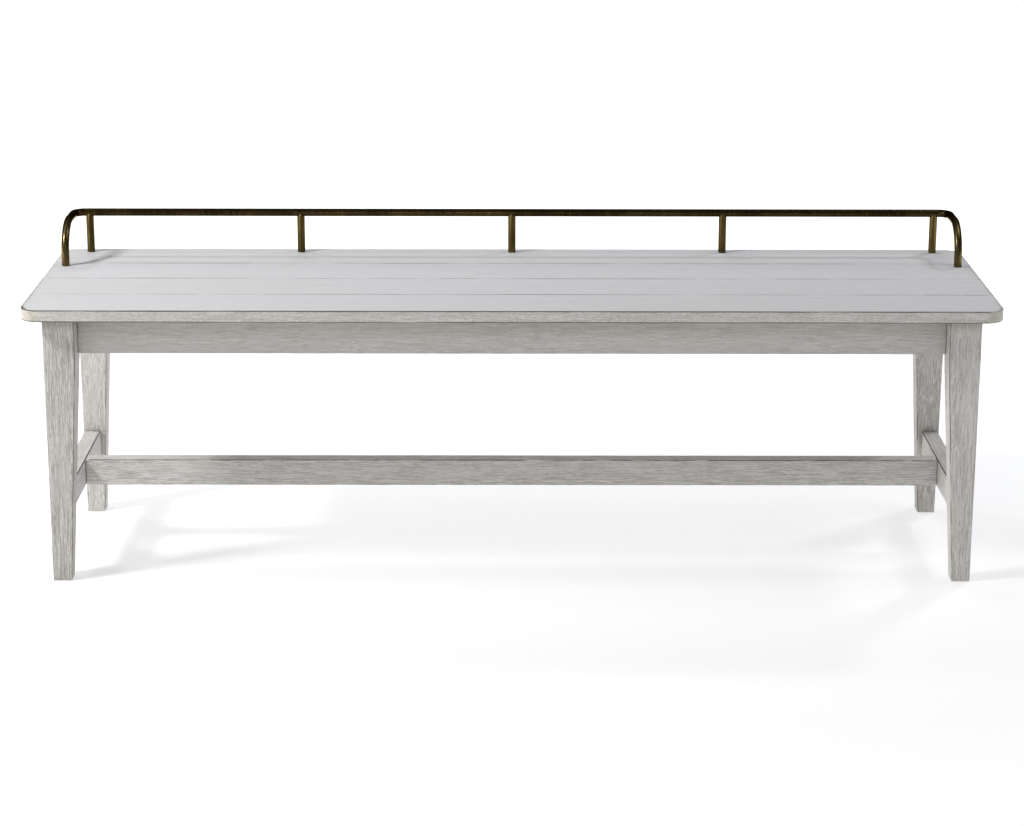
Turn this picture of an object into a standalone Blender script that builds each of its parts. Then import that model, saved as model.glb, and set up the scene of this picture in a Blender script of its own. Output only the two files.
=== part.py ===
# Dining bench: a whitewashed plank seat on four tapered legs, with a bent brass rail along the back.
# Metres, +Z up. The origin is on the floor under the middle of the seat; the front faces -Y.

import math

import bmesh
import bpy
from mathutils import Matrix, Vector

# Clearance between pieces that touch
FIT = 0.0003

# Seat
SEAT_LENGTH = 1.524
SEAT_DEPTH = 0.457
SEAT_HEIGHT = 0.451
SEAT_THICKNESS = 0.019
SEAT_CORNER_RADIUS = 0.030
SEAT_ARRIS = 0.0012
PLANK_NAMES = ("front", "front_inner", "back_inner", "back")
SPLINE_NAMES = ("front", "middle", "back")
SPLINE_WIDTH = 0.012
SPLINE_THICKNESS = 0.005
SPLINE_END_INSET = 0.040

# Legs: square down to the foot of the aprons, then tapered on their two inner faces
LEG_TOP_WIDTH = 0.050
LEG_FOOT_WIDTH = 0.030
LEG_END_INSET = 0.030
LEG_SIDE_INSET = 0.0325

# Aprons, flush with the inside of the legs
APRON_HEIGHT = 0.065
APRON_THICKNESS = 0.019
APRON_TENON_THICKNESS = 0.008
APRON_TENON_LENGTH = 0.018

# Stretchers
STRETCHER_BOTTOM = 0.104
STRETCHER_HEIGHT = 0.044
END_STRETCHER_THICKNESS = 0.027
END_STRETCHER_INSET = 0.002
LONG_STRETCHER_THICKNESS = 0.028
STRETCHER_SHOULDER = 0.008
STRETCHER_TENON_LENGTH = 0.016

# Cross rails between the aprons, under the planks
CROSS_RAIL_SPACING = 0.520
CROSS_RAIL_WIDTH = 0.060
CROSS_RAIL_THICKNESS = 0.019
CROSS_RAIL_SHOULDER = 0.005
CROSS_RAIL_TENON_LENGTH = 0.008

# Corner blocks and the hanger bolts that draw the legs into the corners
BLOCK_LEG = 0.070
BLOCK_TIP = 0.014
BLOCK_BELOW_BOLT = 0.020
BOLT_RADIUS = 0.004
BOLT_IN_LEG = 0.028
BOLT_PAST_NUT = 0.004
NUT_FLANGE_RADIUS = 0.009
NUT_FLANGE_THICKNESS = 0.0016
NUT_ACROSS_FLATS = 0.013
NUT_HEIGHT = 0.0065

# Wood screws that hold the seat from below
SCREW_RADIUS = 0.002
SCREW_HEAD_RADIUS = 0.004
SCREW_HEAD_HEIGHT = 0.0025
SCREW_BITE = 0.012
SEAT_SCREW_ALONG = 0.032
SEAT_SCREW_ACROSS = 0.012

# Rail: one bent tube on five posts
RAIL_RADIUS = 0.00635
RAIL_WALL = 0.0012
RAIL_RISE = 0.068
RAIL_INSET = 0.023
RAIL_RETURN = 0.112
RAIL_PLAN_RADIUS = 0.019
RAIL_DOWN_RADIUS = 0.052
POST_NAMES = ("left_corner", "left", "middle", "right", "right_corner")

# Flanged screws that hold the rail from below, each in a plug inside the tube
PLUG_LENGTH = 0.018
RAIL_SCREW_RADIUS = 0.0025
RAIL_SCREW_IN_PLUG = 0.012
RAIL_SCREW_HEAD_RADIUS = 0.006
RAIL_SCREW_HEAD_HEIGHT = 0.003
RAIL_SCREW_POCKET = 0.006

# Facets of round shapes
CORNER_STEPS = 6
BEND_STEPS = 7
TUBE_SIDES = 16
BOLT_SIDES = 12
SCREW_SIDES = 8

# How far a cutter or a tenon's root reaches past a face
REACH = 0.002

# Levels and lines that several pieces share
HALF_LENGTH = SEAT_LENGTH / 2
HALF_DEPTH = SEAT_DEPTH / 2
SEAT_UNDERSIDE = SEAT_HEIGHT - SEAT_THICKNESS
SEAT_MIDDLE = SEAT_HEIGHT - SEAT_THICKNESS / 2
PLANK_PITCH = (SEAT_DEPTH + FIT) / len(PLANK_NAMES)
SPLINE_END = HALF_LENGTH - SPLINE_END_INSET
FRAME_TOP = SEAT_UNDERSIDE - FIT
LEG_OUTER_X = HALF_LENGTH - LEG_END_INSET
LEG_OUTER_Y = HALF_DEPTH - LEG_SIDE_INSET
FRAME_INNER_X = LEG_OUTER_X - LEG_TOP_WIDTH
FRAME_INNER_Y = LEG_OUTER_Y - LEG_TOP_WIDTH
APRON_BOTTOM = FRAME_TOP - APRON_HEIGHT
APRON_MIDDLE_X = FRAME_INNER_X + APRON_THICKNESS / 2
APRON_MIDDLE_Y = FRAME_INNER_Y + APRON_THICKNESS / 2
STRETCHER_TOP = STRETCHER_BOTTOM + STRETCHER_HEIGHT
END_STRETCHER_OUTER = LEG_OUTER_X - END_STRETCHER_INSET
END_STRETCHER_INNER = END_STRETCHER_OUTER - END_STRETCHER_THICKNESS
END_STRETCHER_MIDDLE = (END_STRETCHER_OUTER + END_STRETCHER_INNER) / 2
CROSS_RAIL_BOTTOM = FRAME_TOP - CROSS_RAIL_THICKNESS
RAIL_LEVEL = SEAT_HEIGHT + RAIL_RISE
RAIL_FOOT_LEVEL = SEAT_HEIGHT + FIT
RAIL_BORE = RAIL_RADIUS - RAIL_WALL
RAIL_BAR_Y = HALF_DEPTH - RAIL_INSET
RAIL_FOOT_X = HALF_LENGTH - RAIL_INSET
RAIL_FOOT_Y = RAIL_BAR_Y - RAIL_RETURN
CORNER_POST_X = RAIL_FOOT_X - RAIL_PLAN_RADIUS - RAIL_RADIUS

# Inside a leg the long apron's tenon, the end apron's tenon and the bolt each have a third of the height
JOINT_BAND = APRON_HEIGHT / 3
APRON_TENON_HEIGHT = JOINT_BAND - 2 * REACH
LONG_TENON_LEVEL = APRON_BOTTOM + JOINT_BAND / 2
END_TENON_LEVEL = LONG_TENON_LEVEL + JOINT_BAND
BOLT_LEVEL = END_TENON_LEVEL + JOINT_BAND
BLOCK_BOTTOM = BOLT_LEVEL - BLOCK_BELOW_BOLT

CORNERS = {
    "front_left": (-1, -1),
    "front_right": (1, -1),
    "back_left": (-1, 1),
    "back_right": (1, 1),
}
UP = Vector((0, 0, 1))


def clear_scene():
    for thing in list(bpy.data.objects):
        bpy.data.objects.remove(thing, do_unlink=True)


def finish(name, colour, roughness, metallic=0.0):
    material = bpy.data.materials.new(name)
    material.use_nodes = True
    shader = material.node_tree.nodes["Principled BSDF"]
    shader.inputs["Base Color"].default_value = (*colour, 1.0)
    shader.inputs["Roughness"].default_value = roughness
    shader.inputs["Metallic"].default_value = metallic
    return material


def add_object(name, shape, material=None, smooth=False):
    bmesh.ops.recalc_face_normals(shape, faces=shape.faces)
    mesh = bpy.data.meshes.new(name)
    shape.to_mesh(mesh)
    shape.free()
    if smooth:
        mesh.shade_smooth()
        mesh.set_sharp_from_angle(angle=math.radians(40))
    if material:
        mesh.materials.append(material)
    thing = bpy.data.objects.new(name, mesh)
    bpy.context.collection.objects.link(thing)
    return thing


def add_boolean(thing, operation, shape):
    """Cut a shape out of an object, or join it on."""
    helper = add_object(thing.name + "." + operation.lower(), shape)
    helper.hide_render = True
    helper.display_type = "WIRE"
    boolean = thing.modifiers.new(operation.title(), "BOOLEAN")
    boolean.operation = operation
    boolean.solver = "EXACT"
    boolean.object = helper


def skin(shape, rings, closed_ends=True):
    """Join equal rings of points with faces, and cap both ends or run back to the start."""
    made = [[shape.verts.new(point) for point in ring] for ring in rings]
    pairs = list(zip(made, made[1:]))
    if not closed_ends:
        pairs.append((made[-1], made[0]))
    for lower, upper in pairs:
        for i in range(len(lower)):
            j = (i + 1) % len(lower)
            shape.faces.new((lower[i], lower[j], upper[j], upper[i]))
    if closed_ends:
        shape.faces.new(reversed(made[0]))
        shape.faces.new(made[-1])


def add_box(shape, middle, size):
    xs, ys, zs = [(m - s / 2, m + s / 2) for m, s in zip(middle, size)]
    plan = ((xs[0], ys[0]), (xs[1], ys[0]), (xs[1], ys[1]), (xs[0], ys[1]))
    skin(shape, [[(x, y, z) for x, y in plan] for z in zs])


def circle(radius, sides):
    angles = [2 * math.pi * (i + 0.5) / sides for i in range(sides)]
    return [(radius * math.cos(a), radius * math.sin(a)) for a in angles]


def hexagon(across_flats, sides):
    """Points at equal angles on the outline of a hexagon."""
    points = []
    for x, y in circle(1.0, sides):
        angle = math.atan2(y, x)
        from_flat = (angle % (math.pi / 3)) - math.pi / 6
        reach = across_flats / 2 / math.cos(from_flat)
        points.append((reach * x, reach * y))
    return points


def add_along(shape, sections, start, direction, closed_ends=True):
    """Skin (outline, distance) pairs set out along a line from start."""
    turn = UP.rotation_difference(Vector(direction)).to_matrix().to_4x4()
    place = Matrix.Translation(start) @ turn
    rings = [[place @ Vector((x, y, distance)) for x, y in outline] for outline, distance in sections]
    skin(shape, rings, closed_ends)


def add_turned(shape, profile, start, direction, sides, closed_ends=True):
    """Revolve (radius, distance) pairs about a line from start."""
    sections = [(circle(radius, sides), distance) for radius, distance in profile]
    add_along(shape, sections, start, direction, closed_ends)


def tube_profile(outer, inner, length):
    return (outer, 0), (outer, length), (inner, length), (inner, 0)


def leg_width(level):
    """Width of a leg at a height above the floor."""
    share = min(level / APRON_BOTTOM, 1.0)
    return LEG_FOOT_WIDTH + (LEG_TOP_WIDTH - LEG_FOOT_WIDTH) * share


def corner_point(signs, along_x, along_y, level):
    """A point measured inwards from the inner edge of a leg."""
    x = signs[0] * (FRAME_INNER_X - along_x)
    y = signs[1] * (FRAME_INNER_Y - along_y)
    return Vector((x, y, level))


def corner_diagonal(signs):
    """Direction from a leg towards the middle of the bench."""
    return Vector((-signs[0], -signs[1], 0)).normalized()


def add_bolt_hole(shape, signs):
    """Clearance hole along a hanger bolt, from its tip in the leg to past the corner block."""
    inwards = corner_diagonal(signs)
    start = corner_point(signs, 0, 0, BOLT_LEVEL) - inwards * (BOLT_IN_LEG + FIT)
    profile = ((BOLT_RADIUS + FIT, 0), (BOLT_RADIUS + FIT, BOLT_IN_LEG + BLOCK_LEG))
    add_turned(shape, profile, start, inwards, BOLT_SIDES)


def spline_lines():
    """The y of each joint between two planks."""
    return [(i + 1) * PLANK_PITCH - (SEAT_DEPTH + FIT) / 2 for i in range(len(SPLINE_NAMES))]


def cross_rail_places():
    return (("left", -CROSS_RAIL_SPACING / 2), ("right", CROSS_RAIL_SPACING / 2))


def seat_screws():
    """Name, head seat and grip of each screw that comes up into the seat."""
    screws = []
    for name, signs in CORNERS.items():
        seat = corner_point(signs, SEAT_SCREW_ALONG, SEAT_SCREW_ACROSS, BLOCK_BOTTOM)
        screws.append(("seat_screw_" + name, seat, FRAME_TOP - BLOCK_BOTTOM))
    for side, x in cross_rail_places():
        for end, y in (("front", -PLANK_PITCH / 2), ("back", PLANK_PITCH / 2)):
            seat = Vector((x, y, CROSS_RAIL_BOTTOM))
            screws.append(("cross_rail_screw_%s_%s" % (side, end), seat, CROSS_RAIL_THICKNESS))
    return screws


def add_screw_holes(shape):
    """Clearance holes for all the seat's screws."""
    for name, seat, grip in seat_screws():
        profile = ((SCREW_RADIUS + FIT, -REACH), (SCREW_RADIUS + FIT, grip + SCREW_BITE + 2 * FIT))
        add_turned(shape, profile, seat, UP, SCREW_SIDES)


def post_places():
    last = len(POST_NAMES) - 1
    return [(name, CORNER_POST_X * (2 * i / last - 1)) for i, name in enumerate(POST_NAMES)]


def rail_feet():
    """Name and place of each point where the rail stands on the seat."""
    feet = [(name, x, RAIL_BAR_Y) for name, x in post_places()]
    feet.append(("left_end", -RAIL_FOOT_X, RAIL_FOOT_Y))
    feet.append(("right_end", RAIL_FOOT_X, RAIL_FOOT_Y))
    return feet


def rounded_corner(side_x, side_y):
    """Points round one corner of the seat, from its end to its long edge."""
    points = []
    for i in range(CORNER_STEPS + 1):
        angle = math.pi / 2 * i / CORNER_STEPS
        x = HALF_LENGTH - SEAT_CORNER_RADIUS * (1 - math.cos(angle))
        y = HALF_DEPTH - SEAT_CORNER_RADIUS * (1 - math.sin(angle))
        points.append((side_x * x, side_y * y))
    return points


def plank_outline(index):
    """Plan outline of a plank; the outer planks have the seat's rounded corners."""
    low = index * PLANK_PITCH - HALF_DEPTH
    high = low + PLANK_PITCH - FIT
    front = [(-HALF_LENGTH, low), (HALF_LENGTH, low)]
    back = [(HALF_LENGTH, high), (-HALF_LENGTH, high)]
    if index == 0:
        front = rounded_corner(-1, -1) + rounded_corner(1, -1)[::-1]
    if index == len(PLANK_NAMES) - 1:
        back = rounded_corner(1, 1) + rounded_corner(-1, 1)[::-1]
    return front + back


def seat_bores():
    """Everything cut out of the planks: spline grooves, screw holes and pockets for the rail's screws."""
    shape = bmesh.new()
    groove = (2 * SPLINE_END + 2 * FIT, SPLINE_WIDTH + 2 * FIT, SPLINE_THICKNESS + 2 * FIT)
    for y in spline_lines():
        add_box(shape, (0, y, SEAT_MIDDLE), groove)
    add_screw_holes(shape)
    for name, x, y in rail_feet():
        profile = (
            (RAIL_SCREW_HEAD_RADIUS + FIT, -REACH),
            (RAIL_SCREW_HEAD_RADIUS + FIT, RAIL_SCREW_POCKET),
            (RAIL_SCREW_RADIUS + FIT, RAIL_SCREW_POCKET),
            (RAIL_SCREW_RADIUS + FIT, SEAT_THICKNESS + REACH),
        )
        add_turned(shape, profile, (x, y, SEAT_UNDERSIDE), UP, SCREW_SIDES)
    return shape


def build_seat(wood, raw_wood):
    for index, name in enumerate(PLANK_NAMES):
        shape = bmesh.new()
        outline = plank_outline(index)
        skin(shape, [[(x, y, z) for x, y in outline] for z in (SEAT_UNDERSIDE, SEAT_HEIGHT)])
        level = [edge for edge in shape.edges if edge.verts[0].co.z == edge.verts[1].co.z]
        bmesh.ops.bevel(shape, geom=level, offset=SEAT_ARRIS, segments=1, affect="EDGES")
        plank = add_object("seat_plank_" + name, shape, wood)
        add_boolean(plank, "DIFFERENCE", seat_bores())
    for name, y in zip(SPLINE_NAMES, spline_lines()):
        shape = bmesh.new()
        add_box(shape, (0, y, SEAT_MIDDLE), (2 * SPLINE_END, SPLINE_WIDTH, SPLINE_THICKNESS))
        add_object("plank_spline_" + name, shape, raw_wood)


def leg_bores(signs):
    """A leg's three mortises and its bolt hole."""
    shape = bmesh.new()
    deep = 2 * (APRON_TENON_LENGTH + FIT)
    wide = APRON_TENON_THICKNESS + 2 * FIT
    tall = APRON_TENON_HEIGHT + 2 * FIT
    add_box(shape, (signs[0] * FRAME_INNER_X, signs[1] * APRON_MIDDLE_Y, LONG_TENON_LEVEL), (deep, wide, tall))
    add_box(shape, (signs[0] * APRON_MIDDLE_X, signs[1] * FRAME_INNER_Y, END_TENON_LEVEL), (wide, deep, tall))

    face = LEG_OUTER_Y - leg_width(STRETCHER_BOTTOM)
    middle = (signs[0] * END_STRETCHER_MIDDLE, signs[1] * face, (STRETCHER_BOTTOM + STRETCHER_TOP) / 2)
    wide = END_STRETCHER_THICKNESS - 2 * STRETCHER_SHOULDER + 2 * FIT
    deep = 2 * (STRETCHER_TENON_LENGTH + FIT)
    tall = STRETCHER_HEIGHT - 2 * STRETCHER_SHOULDER + 2 * FIT
    add_box(shape, middle, (wide, deep, tall))

    add_bolt_hole(shape, signs)
    return shape


def build_legs(wood):
    for name, signs in CORNERS.items():
        rings = []
        for level in (0, APRON_BOTTOM, FRAME_TOP):
            x = LEG_OUTER_X - leg_width(level)
            y = LEG_OUTER_Y - leg_width(level)
            plan = ((x, y), (LEG_OUTER_X, y), (LEG_OUTER_X, LEG_OUTER_Y), (x, LEG_OUTER_Y))
            rings.append([(signs[0] * u, signs[1] * v, level) for u, v in plan])
        shape = bmesh.new()
        skin(shape, rings)
        leg = add_object("leg_" + name, shape, wood)
        add_boolean(leg, "DIFFERENCE", leg_bores(signs))


def build_aprons(wood):
    level = (APRON_BOTTOM + FRAME_TOP) / 2
    long_body = 2 * (FRAME_INNER_X - FIT)
    end_body = 2 * (FRAME_INNER_Y - FIT)
    tenon = (APRON_TENON_THICKNESS, APRON_TENON_HEIGHT)
    for name, side in (("front", -1), ("back", 1)):
        shape = bmesh.new()
        add_box(shape, (0, side * APRON_MIDDLE_Y, level), (long_body, APRON_THICKNESS, APRON_HEIGHT))
        apron = add_object("apron_" + name, shape, wood)
        tenons = bmesh.new()
        middle = (0, side * APRON_MIDDLE_Y, LONG_TENON_LEVEL)
        add_box(tenons, middle, (2 * (FRAME_INNER_X + APRON_TENON_LENGTH), *tenon))
        add_boolean(apron, "UNION", tenons)
        mortises = bmesh.new()
        for rail, x in cross_rail_places():
            add_cross_rail_tenon(mortises, x, side, FIT)
        for signs in CORNERS.values():
            add_bolt_hole(mortises, signs)
        add_boolean(apron, "DIFFERENCE", mortises)
    for name, side in (("left", -1), ("right", 1)):
        shape = bmesh.new()
        add_box(shape, (side * APRON_MIDDLE_X, 0, level), (APRON_THICKNESS, end_body, APRON_HEIGHT))
        apron = add_object("apron_" + name, shape, wood)
        tenons = bmesh.new()
        size = (tenon[0], 2 * (FRAME_INNER_Y + APRON_TENON_LENGTH), tenon[1])
        add_box(tenons, (side * APRON_MIDDLE_X, 0, END_TENON_LEVEL), size)
        add_boolean(apron, "UNION", tenons)
        holes = bmesh.new()
        for signs in CORNERS.values():
            add_bolt_hole(holes, signs)
        add_boolean(apron, "DIFFERENCE", holes)


def add_cross_rail_tenon(shape, x, side, slack):
    """One end of a cross rail: its tenon, or with slack the mortise for it."""
    wide = CROSS_RAIL_WIDTH - 2 * CROSS_RAIL_SHOULDER + 2 * slack
    long = 2 * (CROSS_RAIL_TENON_LENGTH + slack)
    tall = CROSS_RAIL_THICKNESS - 2 * CROSS_RAIL_SHOULDER + 2 * slack
    middle = (x, side * FRAME_INNER_Y, CROSS_RAIL_BOTTOM + CROSS_RAIL_THICKNESS / 2)
    add_box(shape, middle, (wide, long, tall))


def build_cross_rails(raw_wood):
    for name, x in cross_rail_places():
        shape = bmesh.new()
        middle = (x, 0, CROSS_RAIL_BOTTOM + CROSS_RAIL_THICKNESS / 2)
        add_box(shape, middle, (CROSS_RAIL_WIDTH, 2 * (FRAME_INNER_Y - FIT), CROSS_RAIL_THICKNESS))
        rail = add_object("cross_rail_" + name, shape, raw_wood)
        tenons = bmesh.new()
        for side in (-1, 1):
            add_cross_rail_tenon(tenons, x, side, 0)
        add_boolean(rail, "UNION", tenons)
        holes = bmesh.new()
        add_screw_holes(holes)
        add_boolean(rail, "DIFFERENCE", holes)


def build_stretchers(wood):
    level = (STRETCHER_BOTTOM + STRETCHER_TOP) / 2
    tall = STRETCHER_HEIGHT - 2 * STRETCHER_SHOULDER
    for name, side in (("left", -1), ("right", 1)):
        rings = []
        for z in (STRETCHER_BOTTOM, STRETCHER_TOP):
            end = LEG_OUTER_Y - leg_width(z) - FIT
            inner, outer = side * END_STRETCHER_INNER, side * END_STRETCHER_OUTER
            rings.append([(inner, -end, z), (outer, -end, z), (outer, end, z), (inner, end, z)])
        shape = bmesh.new()
        skin(shape, rings)
        stretcher = add_object("stretcher_" + name, shape, wood)
        tenons = bmesh.new()
        wide = END_STRETCHER_THICKNESS - 2 * STRETCHER_SHOULDER
        reach = LEG_OUTER_Y - leg_width(STRETCHER_BOTTOM) + STRETCHER_TENON_LENGTH
        add_box(tenons, (side * END_STRETCHER_MIDDLE, 0, level), (wide, 2 * reach, tall))
        add_boolean(stretcher, "UNION", tenons)
        mortise = bmesh.new()
        deep = 2 * (STRETCHER_TENON_LENGTH + FIT)
        wide = LONG_STRETCHER_THICKNESS - 2 * STRETCHER_SHOULDER + 2 * FIT
        add_box(mortise, (side * END_STRETCHER_INNER, 0, level), (deep, wide, tall + 2 * FIT))
        add_boolean(stretcher, "DIFFERENCE", mortise)
    shape = bmesh.new()
    body = 2 * (END_STRETCHER_INNER - FIT)
    add_box(shape, (0, 0, level), (body, LONG_STRETCHER_THICKNESS, STRETCHER_HEIGHT))
    stretcher = add_object("stretcher_long", shape, wood)
    tenons = bmesh.new()
    reach = 2 * (END_STRETCHER_INNER + STRETCHER_TENON_LENGTH)
    add_box(tenons, (0, 0, level), (reach, LONG_STRETCHER_THICKNESS - 2 * STRETCHER_SHOULDER, tall))
    add_boolean(stretcher, "UNION", tenons)


def build_corner_blocks(raw_wood, steel):
    plan = ((BLOCK_LEG, FIT), (BLOCK_TIP, FIT), (FIT, BLOCK_TIP), (FIT, BLOCK_LEG))
    face = (BLOCK_LEG + FIT) / math.sqrt(2)
    for name, signs in CORNERS.items():
        inwards = corner_diagonal(signs)
        corner = corner_point(signs, 0, 0, BOLT_LEVEL)
        shape = bmesh.new()
        levels = (BLOCK_BOTTOM, FRAME_TOP)
        skin(shape, [[corner_point(signs, a, b, z) for a, b in plan] for z in levels])
        block = add_object("corner_block_" + name, shape, raw_wood)
        holes = bmesh.new()
        add_bolt_hole(holes, signs)
        add_screw_holes(holes)
        add_boolean(block, "DIFFERENCE", holes)

        flange = face + FIT
        total = BOLT_IN_LEG + flange + NUT_FLANGE_THICKNESS + NUT_HEIGHT + BOLT_PAST_NUT
        start = corner - inwards * BOLT_IN_LEG
        bolt = bmesh.new()
        add_turned(bolt, ((BOLT_RADIUS, 0), (BOLT_RADIUS, total)), start, inwards, BOLT_SIDES)
        add_object("hanger_bolt_" + name, bolt, steel, smooth=True)
        rim = circle(NUT_FLANGE_RADIUS, BOLT_SIDES)
        flats = hexagon(NUT_ACROSS_FLATS, BOLT_SIDES)
        hole = circle(BOLT_RADIUS + FIT, BOLT_SIDES)
        top = NUT_FLANGE_THICKNESS + NUT_HEIGHT
        sections = (
            (rim, 0),
            (rim, NUT_FLANGE_THICKNESS),
            (flats, NUT_FLANGE_THICKNESS),
            (flats, top),
            (hole, top),
            (hole, 0),
        )
        nut = bmesh.new()
        add_along(nut, sections, corner + inwards * flange, inwards, closed_ends=False)
        add_object("hanger_nut_" + name, nut, steel)


def build_seat_screws(steel):
    for name, seat, grip in seat_screws():
        profile = (
            (SCREW_HEAD_RADIUS, -SCREW_HEAD_HEIGHT - FIT),
            (SCREW_HEAD_RADIUS, -FIT),
            (SCREW_RADIUS, -FIT),
            (SCREW_RADIUS, grip + SCREW_BITE),
        )
        shape = bmesh.new()
        add_turned(shape, profile, seat, UP, SCREW_SIDES)
        add_object(name, shape, steel)


def rail_path():
    """Centre line of the rail: up from the left foot, along the back and down to the right foot."""
    quarter = [math.pi / 2 * i / BEND_STEPS for i in range(BEND_STEPS + 1)]
    right = [Vector((RAIL_FOOT_X, RAIL_FOOT_Y, RAIL_FOOT_LEVEL))]
    for angle in quarter:
        y = RAIL_FOOT_Y + RAIL_DOWN_RADIUS * (1 - math.cos(angle))
        z = RAIL_LEVEL - RAIL_DOWN_RADIUS * (1 - math.sin(angle))
        right.append(Vector((RAIL_FOOT_X, y, z)))
    for angle in quarter:
        x = RAIL_FOOT_X - RAIL_PLAN_RADIUS * (1 - math.cos(angle))
        y = RAIL_BAR_Y - RAIL_PLAN_RADIUS * (1 - math.sin(angle))
        right.append(Vector((x, y, RAIL_LEVEL)))
    left = [Vector((-point.x, point.y, point.z)) for point in right]
    return left + right[::-1]


def tube_rings(path, radius):
    """Rings of points square to a path, carried along it without twist."""
    rings = []
    side = Vector((1, 0, 0))
    for i, point in enumerate(path):
        before = (point - path[max(i - 1, 0)]).normalized()
        after = (path[min(i + 1, len(path) - 1)] - point).normalized()
        ahead = (before + after).normalized()
        side = (side - ahead * side.dot(ahead)).normalized()
        across = ahead.cross(side)
        rings.append([point + side * x + across * y for x, y in circle(radius, TUBE_SIDES)])
    return rings


def build_rail(brass):
    path = rail_path()
    shape = bmesh.new()
    skin(shape, tube_rings(path, RAIL_RADIUS) + tube_rings(path, RAIL_BORE)[::-1], closed_ends=False)
    add_object("rail_tube", shape, brass, smooth=True)
    for name, x in post_places():
        foot = (x, RAIL_BAR_Y, RAIL_FOOT_LEVEL)
        profile = tube_profile(RAIL_RADIUS, RAIL_BORE, RAIL_LEVEL - RAIL_FOOT_LEVEL)
        shape = bmesh.new()
        add_turned(shape, profile, foot, UP, TUBE_SIDES, closed_ends=False)
        post = add_object("rail_post_" + name, shape, brass, smooth=True)
        saddle = bmesh.new()
        reach = RAIL_RADIUS + REACH
        start = (x - reach, RAIL_BAR_Y, RAIL_LEVEL)
        hollow = RAIL_RADIUS + FIT
        add_turned(saddle, ((hollow, 0), (hollow, 2 * reach)), start, (1, 0, 0), TUBE_SIDES)
        add_boolean(post, "DIFFERENCE", saddle)


def build_rail_fixings(steel):
    for name, x, y in rail_feet():
        profile = tube_profile(RAIL_BORE - FIT, RAIL_SCREW_RADIUS + FIT, PLUG_LENGTH)
        plug = bmesh.new()
        add_turned(plug, profile, (x, y, RAIL_FOOT_LEVEL), UP, TUBE_SIDES, closed_ends=False)
        add_object("rail_plug_" + name, plug, steel, smooth=True)
        seat = SEAT_UNDERSIDE + RAIL_SCREW_POCKET - FIT
        profile = (
            (RAIL_SCREW_HEAD_RADIUS, -RAIL_SCREW_HEAD_HEIGHT),
            (RAIL_SCREW_HEAD_RADIUS, 0),
            (RAIL_SCREW_RADIUS, 0),
            (RAIL_SCREW_RADIUS, RAIL_FOOT_LEVEL + RAIL_SCREW_IN_PLUG - seat),
        )
        screw = bmesh.new()
        add_turned(screw, profile, (x, y, seat), UP, SCREW_SIDES)
        add_object("rail_screw_" + name, screw, steel)


def main():
    clear_scene()
    wood = finish("whitewashed_oak", (0.60, 0.59, 0.57), 0.75)
    raw_wood = finish("raw_hardwood", (0.55, 0.40, 0.25), 0.80)
    brass = finish("antique_brass", (0.16, 0.11, 0.055), 0.38, 1.0)
    steel = finish("zinc_plated_steel", (0.62, 0.62, 0.60), 0.40, 1.0)
    build_seat(wood, raw_wood)
    build_legs(wood)
    build_aprons(wood)
    build_stretchers(wood)
    build_cross_rails(raw_wood)
    build_corner_blocks(raw_wood, steel)
    build_seat_screws(steel)
    build_rail(brass)
    build_rail_fixings(steel)


main()
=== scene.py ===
# %% [markdown]
# # A dining bench with a gallery rail
#
# The bench is whitewashed oak: four long planks on four tapered legs, joined by aprons under the
# seat and by an H of stretchers near the floor. A thin brass rail stands along the back of the seat.
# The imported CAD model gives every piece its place. Here each visible piece is modelled again with
# softer edges, a grain that can be felt and a worn finish, and the camera is set where the photo's was.

import math

import bmesh
import bpy
from mathutils import Matrix, Vector


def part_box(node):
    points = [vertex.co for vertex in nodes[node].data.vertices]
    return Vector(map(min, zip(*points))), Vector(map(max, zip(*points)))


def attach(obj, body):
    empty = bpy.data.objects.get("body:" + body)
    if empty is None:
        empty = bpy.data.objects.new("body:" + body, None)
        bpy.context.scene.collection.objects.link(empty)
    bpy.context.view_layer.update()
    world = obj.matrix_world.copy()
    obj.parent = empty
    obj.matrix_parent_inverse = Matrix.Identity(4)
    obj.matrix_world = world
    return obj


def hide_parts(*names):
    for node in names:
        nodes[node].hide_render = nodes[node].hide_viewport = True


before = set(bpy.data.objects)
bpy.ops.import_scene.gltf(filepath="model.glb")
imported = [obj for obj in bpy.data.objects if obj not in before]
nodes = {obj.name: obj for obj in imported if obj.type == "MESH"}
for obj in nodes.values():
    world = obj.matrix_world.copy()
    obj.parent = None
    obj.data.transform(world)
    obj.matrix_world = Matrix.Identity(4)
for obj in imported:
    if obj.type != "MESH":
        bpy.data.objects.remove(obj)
scene = bpy.context.scene
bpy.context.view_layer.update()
print("the packed bench has", len(nodes), "pieces")

# %% [markdown]
# ## The camera
#
# The photo was taken from in front of the bench, a little above the seat, with a long lens. The place
# and the small turns were found by matching the edges of the bench in the photo. A long lens from
# four metres away keeps the far legs almost as large as the near ones.

# %% Camera
CAMERA_PLACE = Vector((-0.0105, -4.1894, 1.3951))
CAMERA_YAW = 0.002596
CAMERA_TILT = -0.2725
CAMERA_ROLL = 0.002005
LENS = 92.88
SENSOR = 36.0

bpy.ops.object.camera_add()
camera = bpy.context.object
camera.data.sensor_fit = "HORIZONTAL"
camera.data.sensor_width = SENSOR
camera.data.lens = LENS
camera.data.dof.use_dof = False
camera.matrix_world = (
    Matrix.Translation(CAMERA_PLACE)
    @ Matrix.Rotation(-CAMERA_YAW, 4, "Z")
    @ Matrix.Rotation(math.pi / 2 + CAMERA_TILT, 4, "X")
    @ Matrix.Rotation(CAMERA_ROLL, 4, "Z")
)
scene.camera = camera
scene.view_settings.view_transform = "Standard"
print("camera", round(CAMERA_PLACE.length, 2), "m from the middle of the bench")

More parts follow.
